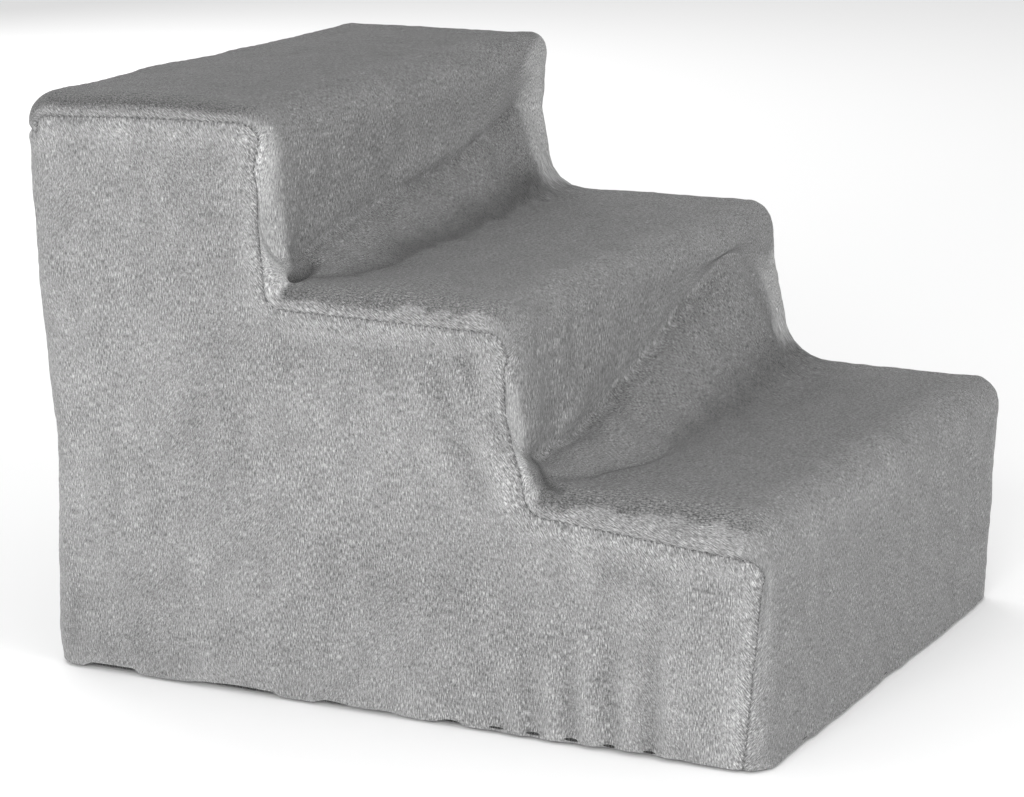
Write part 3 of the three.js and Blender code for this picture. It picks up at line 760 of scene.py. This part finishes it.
class Shader:
    """A material's nodes, added one call at a time."""

    def __init__(self, name):
        self.material = bpy.data.materials.new(name)
        self.material.use_nodes = True
        self.nodes = self.material.node_tree.nodes
        self.links = self.material.node_tree.links
        self.surface = self.nodes["Principled BSDF"]

    def add(self, kind, inputs=None, **settings):
        node = self.nodes.new(kind)
        for key, value in settings.items():
            setattr(node, key, value)
        for key, value in (inputs or {}).items():
            self.set(node.inputs[key], value)
        return node

    def set(self, socket, value):
        if isinstance(value, bpy.types.NodeSocket):
            self.links.new(value, socket)
        else:
            socket.default_value = value

    def own_place(self):
        return self.add("ShaderNodeTexCoord").outputs["Object"]

    def attribute(self, name, output):
        return self.add("ShaderNodeAttribute", attribute_name=name).outputs[output]

    def math(self, operation, a, b=0.0):
        return self.add("ShaderNodeMath", {0: a, 1: b}, operation=operation).outputs[0]

    def times(self, a, b):
        return self.math("MULTIPLY", a, b)

    def blend(self, factor, a, b):
        return self.add("ShaderNodeMix", {0: factor, 2: a, 3: b}, data_type="FLOAT").outputs[0]

    def spread(self, value, low, high, to_low=0.0, to_high=1.0):
        inputs = {"Value": value, "From Min": low, "From Max": high, "To Min": to_low, "To Max": to_high}
        return self.add("ShaderNodeMapRange", inputs).outputs[0]

    def noise(self, place, size, detail=2.0, roughness=0.5, tilt=0.0):
        """Noise whose features are size (across, along) in metres, leaning by tilt radians."""
        turned = self.add("ShaderNodeMapping", {"Vector": place, "Rotation": (0, 0, tilt)}).outputs[0]
        scale = (1 / size[0], 1 / size[1], 1 / size[-1])
        scaled = self.add("ShaderNodeMapping", {"Vector": turned, "Scale": scale}).outputs[0]
        inputs = {"Vector": scaled, "Scale": 1.0, "Detail": detail, "Roughness": roughness}
        return self.add("ShaderNodeTexNoise", inputs).outputs[0]

    def grey(self, value, tint=(1.0, 1.0, 1.0)):
        """A colour from a brightness, with a slight tint."""
        parts = {axis: self.times(value, part) for axis, part in enumerate(tint)}
        return self.add("ShaderNodeCombineColor", parts).outputs[0]

    def finish(self, colour, height, depth, **constants):
        """Joins up the surface: colour, a bump of a depth in metres, and constants by socket name."""
        self.set(self.surface.inputs["Base Color"], colour)
        bump = self.add("ShaderNodeBump", {"Height": height, "Distance": depth, "Strength": 1.0})
        self.set(self.surface.inputs["Normal"], bump.outputs[0])
        for key, value in constants.items():
            self.surface.inputs[key.replace("_", " ")].default_value = value
        return self.material


LEAN = 0.55  # how far, in radians, the pile slants where it leans fully
STROKE = (0.0007, 0.0036)  # a lock of pile, across and along, in metres
PILE_GREYS = (0.12, 0.355)  # between the locks and on them


def plush_material():
    """Grey long-pile plush. "cloth" is the flat place, "nap" its lightness, from the way the pile lies and
    from painted light and shade, "lean" the pile's slant, "seam" the distance to a seam and "walked" the
    way along it, both in millimetres."""
    shader = Shader("plush")
    place = shader.attribute("cloth", "Vector")
    lean = shader.attribute("lean", "Fac")
    nap_and_shading = shader.attribute("nap_and_shading", "Fac")
    strokes = [shader.noise(place, STROKE, roughness=0.6, tilt=turn * LEAN) for turn in (-1, 0, 1)]
    to_left = shader.math("MAXIMUM", shader.times(lean, -1.0), 0.0)
    to_right = shader.math("MAXIMUM", lean, 0.0)
    fibre = shader.blend(to_right, shader.blend(to_left, strokes[1], strokes[0]), strokes[2])
    grain = shader.noise(place, (0.0011, 0.0014), roughness=0.6)
    tuft = shader.spread(shader.blend(0.2, fibre, grain), 0.40, 0.60)
    # Painted highlight: the brightest fibre locks are lifted in the base colour as glints.
    painted_glint = shader.spread(fibre, 0.58, 0.68)
    patch = shader.noise(place, (0.016, 0.026), detail=4.0, roughness=0.6)
    speck = shader.math("SUBTRACT", shader.noise(place, (0.0011, 0.0013), detail=1.5, roughness=0.6), 0.5)
    speck = shader.times(speck, shader.spread(nap_and_shading, 0.5, 1.0, 3.4, 0.9))
    value = shader.spread(tuft, 0.0, 1.0, *PILE_GREYS)
    value = shader.math("ADD", value, shader.times(painted_glint, 0.10))
    value = shader.times(value, shader.spread(patch, 0.3, 0.7, 0.85, 1.13))
    value = shader.times(value, nap_and_shading)
    value = shader.times(value, shader.math("ADD", 1.0, speck))
    turns = shader.times(shader.attribute("walked", "Fac"), 2 * math.pi / STITCH)
    stitch = shader.spread(shader.math("SINE", turns), -0.2, 0.8, 0.14, 0.62)
    line = shader.spread(shader.attribute("seam", "Fac"), 0.25, 1.15, 1.0, 0.0)
    value = shader.times(value, shader.math("SUBTRACT", 1.0, shader.times(line, stitch)))
    return shader.finish(shader.grey(value), tuft, 0.0006, Roughness=0.82, Sheen_Weight=0.25,
                         Sheen_Roughness=0.45, Specular_IOR_Level=0.25)


def plastic_material(name, value, tint=(1.0, 1.0, 1.0), roughness=0.5):
    """Moulded plastic or rubber: fine spark-eroded grain, faint flow clouds and scuffs."""
    shader = Shader(name)
    place = shader.own_place()
    grain = shader.noise(place, (0.0007, 0.0007))
    cloud = shader.noise(place, (0.05, 0.03), detail=3.0)
    scuff = shader.spread(shader.noise(place, (0.012, 0.0009), detail=4.0), 0.62, 0.74)
    shade = shader.spread(cloud, 0.3, 0.7, value * 0.93, value * 1.05)
    shade = shader.math("ADD", shade, shader.times(scuff, 0.04))
    rough = shader.spread(grain, 0.3, 0.7, roughness - 0.07, roughness + 0.08)
    shader.set(shader.surface.inputs["Roughness"], rough)
    return shader.finish(shader.grey(shade, tint), grain, 0.00008)


def foam_material():
    """Open-cell foam sheet."""
    shader = Shader("foam")
    place = shader.own_place()
    cells = shader.add("ShaderNodeTexVoronoi", {"Vector": place, "Scale": 700.0}).outputs["Distance"]
    cloud = shader.noise(place, (0.04, 0.04), detail=3.0)
    value = shader.spread(cells, 0.0, 0.6, 0.34, 0.62)
    value = shader.times(value, shader.spread(cloud, 0.3, 0.7, 0.9, 1.05))
    return shader.finish(shader.grey(value, (1.0, 0.96, 0.84)), cells, 0.0005, Roughness=0.95)


def tape_material(name, value, size, depth):
    """Hook or loop tape: a dense field of tiny hooks in rows."""
    shader = Shader(name)
    place = shader.own_place()
    rows = {"Vector": place, "Scale": 1 / size, "Randomness": 0.35}
    hooks = shader.add("ShaderNodeTexVoronoi", rows).outputs["Distance"]
    fuzz = shader.noise(place, (0.003, 0.003), detail=3.0)
    shade = shader.spread(hooks, 0.0, 0.7, value * 1.5, value * 0.6)
    shade = shader.times(shade, shader.spread(fuzz, 0.3, 0.7, 0.85, 1.15))
    return shader.finish(shader.grey(shade), hooks, depth, Roughness=0.7)


# ---- The foam pads ----

# How far in each rim of a pad starts, and how wide it is.
PAD_REACH = {"side": (3.0, 12.0), "front": (4.8, 14.0), "rear": (0.6, 3.0)}
PAD_STEP = 5.0


def rim_places(low, high, low_rim, high_rim, step, rows=9):
    """Places across a slab, with some rows of them round each rim, and its share of thickness at each."""
    turns = np.linspace(0, math.pi / 2, rows)
    first = low + low_rim[0] + low_rim[1] * (1 - np.cos(turns))
    last = high - high_rim[0] - high_rim[1] * (1 - np.cos(turns))
    inner = np.linspace(first[-1], last[-1], round((last[-1] - first[-1]) / step) + 1)[1:-1]
    places = np.concatenate([first, inner, last[::-1]])
    share = np.concatenate([np.sin(turns), np.ones(len(inner)), np.sin(turns)[::-1]])
    return places, share


def closed_faces(rows, columns):
    """Faces of a slab made of two grids of points that share their rims."""
    upper = numbered(rows, columns)
    lower = upper.copy()
    lower[1:-1, 1:-1] = numbered(rows - 2, columns - 2, rows * columns)
    return np.concatenate([grid_faces(upper), grid_faces(lower, flip=True)])


def slab(x, y, top, bottom):
    """The points of a closed slab over a grid of places, where the rims of top and bottom meet."""
    upper = np.stack([x, y, top], -1)
    lower = np.stack([x, y, bottom], -1)[1:-1, 1:-1]
    return np.concatenate([upper.reshape(-1, 3), lower.reshape(-1, 3)])


def tread_pad(step, seed):
    """A foam pad with rounded rims, its top pressed a little uneven by the cover over it."""
    low, high = (np.array(corner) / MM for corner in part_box(f"{step}_tread_pad"))
    x, x_share = rim_places(-HALF + CORE, HALF - CORE, PAD_REACH["side"], PAD_REACH["side"], PAD_STEP)
    front = NOSES[STEPS.index(step)] + CORE
    y, y_share = rim_places(front, high[1], PAD_REACH["front"], PAD_REACH["rear"], PAD_STEP)
    x, y = np.meshgrid(x, y)
    share = x_share[None, :] * y_share[:, None]
    pressed = 0.35 + 0.25 * noise(x / 60, y / 60, seed) + 0.1 * noise(x / 14, y / 14, seed + 1)
    top = low[2] + share * (high[2] - low[2] - pressed)
    return slab(x, y, top, np.full(x.shape, low[2])), closed_faces(*x.shape)


# ---- The hem flaps ----

FLAP_WIDTH = 30.0
FLAP_THICKNESS = 2.2
FLAP_RIM = 1.5  # how wide its rounded rim is
FLAP_TURNS = {"front": 0.0, "right": math.pi / 2, "rear": math.pi, "left": -math.pi / 2}


def hem_flap(edge, seed):
    """A flap along one edge of the base, mitred at both ends and a little wavy, in the frame's axes."""
    low, high = (np.array(corner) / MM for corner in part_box(f"{edge}_hem_flap"))
    across = 1 if edge in ("front", "rear") else 0
    half = (high[1 - across] - low[1 - across]) / 2
    out = max(abs(low[across]), abs(high[across]))
    inward, in_share = rim_places(0, FLAP_WIDTH, (0, FLAP_RIM), (0, FLAP_RIM), 2.1, rows=5)
    along, along_share = rim_places(-1.0, 1.0, (0, FLAP_RIM / half), (0, FLAP_RIM / half), 2.5 / half)
    inward, along = np.meshgrid(inward, along, indexing="ij")
    share = in_share[:, None] * along_share[None, :]
    x = along * (half - inward)
    y = -out + inward
    middle = (low[2] + high[2]) / 2 + 0.25 * noise(x / 40, inward / 30, seed)
    pile = 0.12 * noise(x / 3, inward / 3, seed + 1)
    points = slab(x, y, middle + share * FLAP_THICKNESS / 2, middle - share * (FLAP_THICKNESS / 2 + pile))
    turn = FLAP_TURNS[edge]
    spun = np.stack([points[:, 0] * math.cos(turn) - points[:, 1] * math.sin(turn),
                     points[:, 0] * math.sin(turn) + points[:, 1] * math.cos(turn), points[:, 2]], -1)
    return spun, closed_faces(*x.shape), points, half


# ---- The cover ----

PLUSH = plush_material()
HERRINGBONE = 1.0  # which way the pile leans beside a seam
LEANING = 16.0     # how far from the seam it leans

# How light the pile is painted, against 1 on the side panels: partly the way the pile lies, partly painted
# shade and painted highlight. These follow the photo.
TREAD_NAP_SHADES = (0.51, 0.52, 0.355)
RISER_NAP_SHADES = (0.79, 0.78)
FRONT_NAP_SHADE = 0.85  # on the front, and on the strip's end down the back
WEB_NAP_HIGHLIGHT = 1.55    # painted highlight where the cloth stretches over the right end of a riser, partly the pile lying another way


def cloth_place(u, v):
    """Flat coordinates for the material, in metres."""
    u, v = np.ravel(u), np.ravel(v)
    return np.stack([u, v, np.zeros(u.shape)], -1) * MM


def beside_line(u, v, line, width):
    """How near points lie to a line on either side: on its left and on its right."""
    distance, side, _ = beside(u, v, line)
    nearness = np.exp(-(distance / width) ** 2)
    on_left = smooth(distance * side, -5, 5)
    return nearness * on_left, nearness * (1 - on_left)


def shaded_tucks(base):
    """Where the deep tucks at the left ends of the risers lie in their own shade, 0 to 1."""
    shade = np.zeros(base.shape[:2])
    tucks = (LOWER_TUCK, 3.0), ([(-176, -9), (-164, -6), (-150, 0)], 4.5)
    for level, (line, width) in enumerate(tucks):
        x, up, mask = riser_places(base, level)
        shade += mask * fold(x, up, line, 1.0, width)
    return np.clip(shade, 0, 1)


def parted_pile(base, u):
    """Pale specks where the pile parts over the ridge beside each riser's crease."""
    specks = np.zeros(base.shape[:2])
    for level, places in ((1, ((-114, -75), (32, 110))), (0, ((-60, -10), (20, 70)))):
        x, up, mask = riser_places(base, level)
        _, knee = BRIDGES[level](x)
        rough = smooth(noise(u / 3.2, up / 4.2, 83 + 3 * level), 0.15, 0.55)
        band = np.exp(-((up - knee + 2) / 9) ** 2)
        for low, high in places:
            specks += 0.9 * mask * rough * band * plateau(x, low - 12, low + 6, high - 6, high + 12)
    return specks


def strip_nap_and_shading(base, u, seamward):
    """How light the strip's pile is painted: dark on the treads, partly where the pile lies away and partly
    painted shade; painted highlights at the edges and webs, painted shade in the inner corners.
    """
    x, y, z = base[..., 0], base[..., 1], base[..., 2]
    wander = 3.0 * noise(u / 9, (y + z) / 9, 61) + 4.0 * noise(u / 26, (y + z) / 26, 62)
    rows = row_numbers(base)
    places = rows + 0.4 * wander
    dark = FRONT_NAP_SHADE + 0.08 * smooth(rows, row_of(1) - 14, row_of(1)) * (1 - smooth(x, -20, 60))
    # Treads darker and risers paler: partly the pile's lie, partly painted shade and painted light.
    for corner, tread in zip((1, 4, 7), TREAD_NAP_SHADES):
        dark += (tread - dark) * smooth(places, row_of(corner), row_of(corner, True) + 6)
        if corner < 7:
            riser = smooth(places, row_of(corner + 1) + 2, row_of(corner + 1, True) + 10)
            dark += (RISER_NAP_SHADES[corner // 3] - dark) * riser
    # Painted light and shade round each inner corner: a painted highlight above the lapped crease and painted
    # shade below it, painted shade on the bridging facet and along the junction with the tread, and a painted
    # highlight on the web.
    for level, line, lap_light_and_shade, junction_shade, junction_shade_start in (
            (0, LOWER_VALLEY, (0.22, 0.15), 0.15, (-120, -40)),
            (1, UPPER_CREASE, (0.09, 0.10), 0.26, (-190, -150))):
        corner = 3 * level + 2
        _, up, mask = riser_places(base, level)
        facet_shade = plateau(rows, row_of(corner) - 16, row_of(corner) + 8,
                        row_of(corner + 1), row_of(corner + 1, True))
        left, right = beside_line(x, up + 0.8 * wander, line, 16)
        reach = 1 - smooth(x, 60, 125) if level == 0 else 1.0
        dark += mask * reach * (lap_light_and_shade[0] * left - lap_light_and_shade[1] * right) - 0.10 * facet_shade
        beyond = rows - row_of(corner, True) + 0.5 * wander
        junction = np.exp(-(beyond / np.where(beyond < 0, 3.5, 10)) ** 2)
        dark -= junction_shade * junction * plateau(x, *junction_shade_start, 130, 165)
        web = mask * smooth(x + wander, 146, 172) * plateau(up, -12, 8, 50, 78)
        dark += (WEB_NAP_HIGHLIGHT - dark) * web
    dark += (FRONT_NAP_SHADE - dark) * smooth(rows, row_of(8) + 6, row_of(8, True) + 2)
    on_upper = plateau(rows, row_of(5), row_of(5, True), row_of(7) - 4, row_of(7, True))
    on_lower = plateau(rows, row_of(2), row_of(2, True), row_of(3) + 6, row_of(4))
    on_front = 1 - smooth(rows, row_of(1), row_of(1, True))
    # Painted highlight along the strip's side edges and beside its seams, strongest on the risers.
    width = 4 + 22 * on_upper + 6 * on_lower + 5 * (1 - smooth(rows, row_of(1) - 8, row_of(1)))
    width = width * (1 + 0.9 * smooth(x, 120, 170))
    light = 1 - smooth(HALF - np.abs(x) + 0.6 * wander, 0.5 * width, 1.2 * width)
    light = np.maximum(light, 1 - smooth(seamward, 3, 9))
    paler = 1 + 0.52 * np.maximum(on_upper, on_lower) + 0.12 * on_front
    nap_and_shading = dark + (paler - dark) * light
    return nap_and_shading * (1 + 0.5 * parted_pile(base, u) - 0.68 * shaded_tucks(base))


LEFT_PAINTED_SHADING = [  # painted light and shade, softly paler and darker patches: (a, z, half-length, half-height, change)
    (225, 150, 35, 110, 0.15), (0, 230, 70, 18, -0.15), (-175, 114, 30, 10, -0.11), (120, 330, 40, 30, -0.09),
    (0, 78, 45, 16, -0.11), (195, 20, 45, 14, -0.16), (-170, 142, 60, 9, 0.10), (-215, 40, 28, 25, 0.13),
    (-92, 220, 7, 40, 0.18), (170, 220, 30, 40, 0.09), (-60, 232, 12, 20, -0.10)]
RIGHT_PAINTED_SHADING = [
    (200, 60, 50, 30, -0.12), (60, 210, 60, 30, 0.08), (-120, 110, 60, 18, -0.09),
    (150, 300, 40, 30, -0.08)]


def patches(flat, places):
    """The sum of soft patches of painted light and shade over a side panel."""
    total = np.zeros(len(flat))
    for a, z, length, height, change in places:
        away = ((flat - (a, z)) / (length, height)).T
        total += change * np.exp(-away[0] ** 2 - away[1] ** 2)
    return total


def side_nap_and_shading(flat, to_seam, height):
    """A side panel's lightness: painted shade in its folds and painted highlight on its ridges, paler beside
    a seam.
    """
    a, z = flat.T
    wander = 4 * noise(a / 14, z / 14, 71)
    # Painted shade in valleys and painted highlight on ridges, from each fold's height.
    nap_and_shading = 1.0 + 0.12 * np.exp(-((to_seam - 9 + wander) / 9) ** 2) + np.clip(0.062 * height, -0.28, 0.14)
    return nap_and_shading + (0.05 * noise(a / 60, z / 90, 72) + 0.025 * noise(a / 22, z / 40, 75))


def side_lean(flat, to_seam):
    """How the pile slants: it leans in towards a seam beside it, and wanders elsewhere."""
    wander = 0.7 * noise(flat[:, 0] / 45, flat[:, 1] / 60, 73)
    near = np.exp(-(to_seam / LEANING) ** 2)
    return np.clip(wander * (1 - near) + near * HERRINGBONE, -1, 1)


def plush_facts(place, nap_and_shading, lean, seam, walked):
    """What the plush material needs to know at each point of a piece."""
    numbers = {"nap_and_shading": nap_and_shading, "lean": lean, "seam": seam, "walked": walked}
    return {"cloth": cloth_place(*place), **{key: np.ravel(values) for key, values in numbers.items()}}


strip, u, v, seamward, base = strip_surface()
lean = -np.sign(u) * HERRINGBONE * np.exp(-(seamward / LEANING) ** 2)
facts = plush_facts((u, 1.25 * v), strip_nap_and_shading(base, u, seamward), lean, seamward, v)
strip_faces = grid_faces(numbered(*strip.shape[:2]))
step_cover = add_piece("step_cover_plush", strip.reshape(-1, 3), strip_faces, PLUSH, facts)
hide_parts("step_cover")
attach(step_cover, "stair")
for side, sign in SIDES.items():
    folds = left_side_folds if sign < 0 else right_side_folds
    painted_shading = LEFT_PAINTED_SHADING if sign < 0 else RIGHT_PAINTED_SHADING
    points, faces, flat, to_seam, walked = side_surface(sign, strip, folds, 17 + sign)
    nap_and_shading = side_nap_and_shading(flat, to_seam, folds(*flat.T)) + patches(flat, painted_shading)
    facts = plush_facts(flat.T, nap_and_shading, side_lean(flat, to_seam), to_seam, walked)
    panel = add_piece(f"{side}_side_plush", points, faces, PLUSH, facts)
    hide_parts(f"{side}_side_cover")
    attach(panel, "stair")
points, x, z, to_seam = back_surface(strip)
walked = np.where(BACK_TOP - z < HALF - BACK_SEAM - np.abs(x), x, z)
facts = plush_facts((x, z), np.ones(x.shape), np.zeros(x.shape), to_seam, walked)
back = add_piece("back_plush", points.reshape(-1, 3), grid_faces(numbered(*points.shape[:2])), PLUSH, facts)
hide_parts("back_cover")
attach(back, "stair")


# ---- What is under the cover ----

FOAM = foam_material()
for step in STEPS:
    points, faces = tread_pad(step, 41 + 3 * STEPS.index(step))
    pad = add_piece(f"{step}_foam_pad", points, faces, FOAM)
    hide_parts(f"{step}_tread_pad")
    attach(pad, "stair")

for edge in EDGES:
    points, faces, flat, half = hem_flap(edge, 53 + EDGES.index(edge))
    along, inward, _ = flat.T
    blank = np.zeros(len(flat))
    nap_and_shading = 0.9 - 0.86 * (1 - smooth(inward - inward.min(), 2, 4))  # painted shadow under the hem: nearly black at its hinge edge
    facts = plush_facts((along, inward), nap_and_shading, blank, blank + 20, blank)
    flap = add_piece(f"{edge}_flap_plush", points, faces, PLUSH, facts)
    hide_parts(f"{edge}_hem_flap")
    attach(flap, f"{edge}_flap")

FRAME_FINISHES = [
    ("_peg_", plastic_material("peg_plastic", 0.26, (1.0, 0.98, 0.93), 0.45), "peg_plastic"),
    ("_foot_", plastic_material("foot_rubber", 0.018, roughness=0.75), "foot_rubber"),
    ("_hook_strip", tape_material("hook_tape", 0.014, 0.0011, 0.0006), "hook_strip"),
    ("", plastic_material("frame_plastic", 0.56, (1.0, 0.985, 0.94), 0.52), "frame_plastic"),
]
for name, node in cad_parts.items():
    if not name.endswith(("_cover", "_pad", "_flap")):
        material, slot = next((material, slot) for mark, material, slot in FRAME_FINISHES if mark in name)
        node.data.materials.clear()
        node.data.materials.append(material)

# ---- Camera, light and floor ----

def look_from(azimuth, elevation, roll, distance, shift, target):
    """A camera place and its right, up and back directions, from angles in degrees."""
    az, el, turn = (math.radians(angle) for angle in (azimuth, elevation, roll))
    back = Vector((math.sin(az) * math.cos(el), -math.cos(az) * math.cos(el), math.sin(el)))
    level = Vector((0, 0, 1)).cross(back).normalized()
    right = level * math.cos(turn) + back.cross(level) * math.sin(turn)
    up = back.cross(level) * math.cos(turn) - level * math.sin(turn)
    aim = Vector(target) + level * shift[0] + back.cross(level) * shift[1]
    return aim + back * distance, right, up, back


def add_camera():
    place, right, up, back = look_from(azimuth=-62.40, elevation=13.54, roll=-0.811, distance=2.1087,
                                       shift=(-0.0134, -0.0298), target=(0, 0, 0.19))
    data = bpy.data.cameras.new("camera")
    data.lens = 112.5
    data.sensor_width = 36
    data.sensor_fit = "HORIZONTAL"
    camera = placed("camera", data)
    camera.matrix_world = Matrix((right, up, back)).transposed().to_4x4()
    camera.location = place
    bpy.context.scene.camera = camera


def add_light(name, place, aim, size, power, colour=(1, 1, 1)):
    data = bpy.data.lights.new(name, "AREA")
    data.shape = "SQUARE"
    data.size = size
    data.energy = power
    data.color = colour
    light = placed(name, data)
    direction = Vector(place) - Vector(aim)
    light.rotation_euler = direction.to_track_quat("Z", "Y").to_euler()
    light.location = place


def add_stage():
    """A pale floor, pale surroundings, and a soft key light low on the left."""
    scene = bpy.context.scene
    scene.view_settings.view_transform = "Standard"
    world = bpy.data.worlds.new("studio")
    world.use_nodes = True
    glow = world.node_tree.nodes["Background"]
    glow.inputs["Color"].default_value = (1, 1, 1, 1)
    glow.inputs["Strength"].default_value = 0.75
    scene.world = world
    add_light("key", (-2.4, -0.5, 0.9), (0, 0, 0.18), 1.4, 55)
    add_light("front", (-0.6, -2.6, 1.2), (0, 0, 0.15), 1.6, 25)
    add_light("back", (1.8, 2.4, 1.6), (0, 0, 0.2), 2.0, 30)
    mesh = bpy.data.meshes.new("floor")
    mesh.from_pydata([(-6, -6, 0), (6, -6, 0), (6, 6, 0), (-6, 6, 0)], [], [(0, 1, 2, 3)])
    paint = bpy.data.materials.new("floor_paint")
    paint.use_nodes = True
    surface = paint.node_tree.nodes["Principled BSDF"]
    surface.inputs["Base Color"].default_value = (0.93, 0.93, 0.93, 1)
    surface.inputs["Roughness"].default_value = 0.9
    mesh.materials.append(paint)
    placed("floor", mesh)


add_camera()
add_stage()
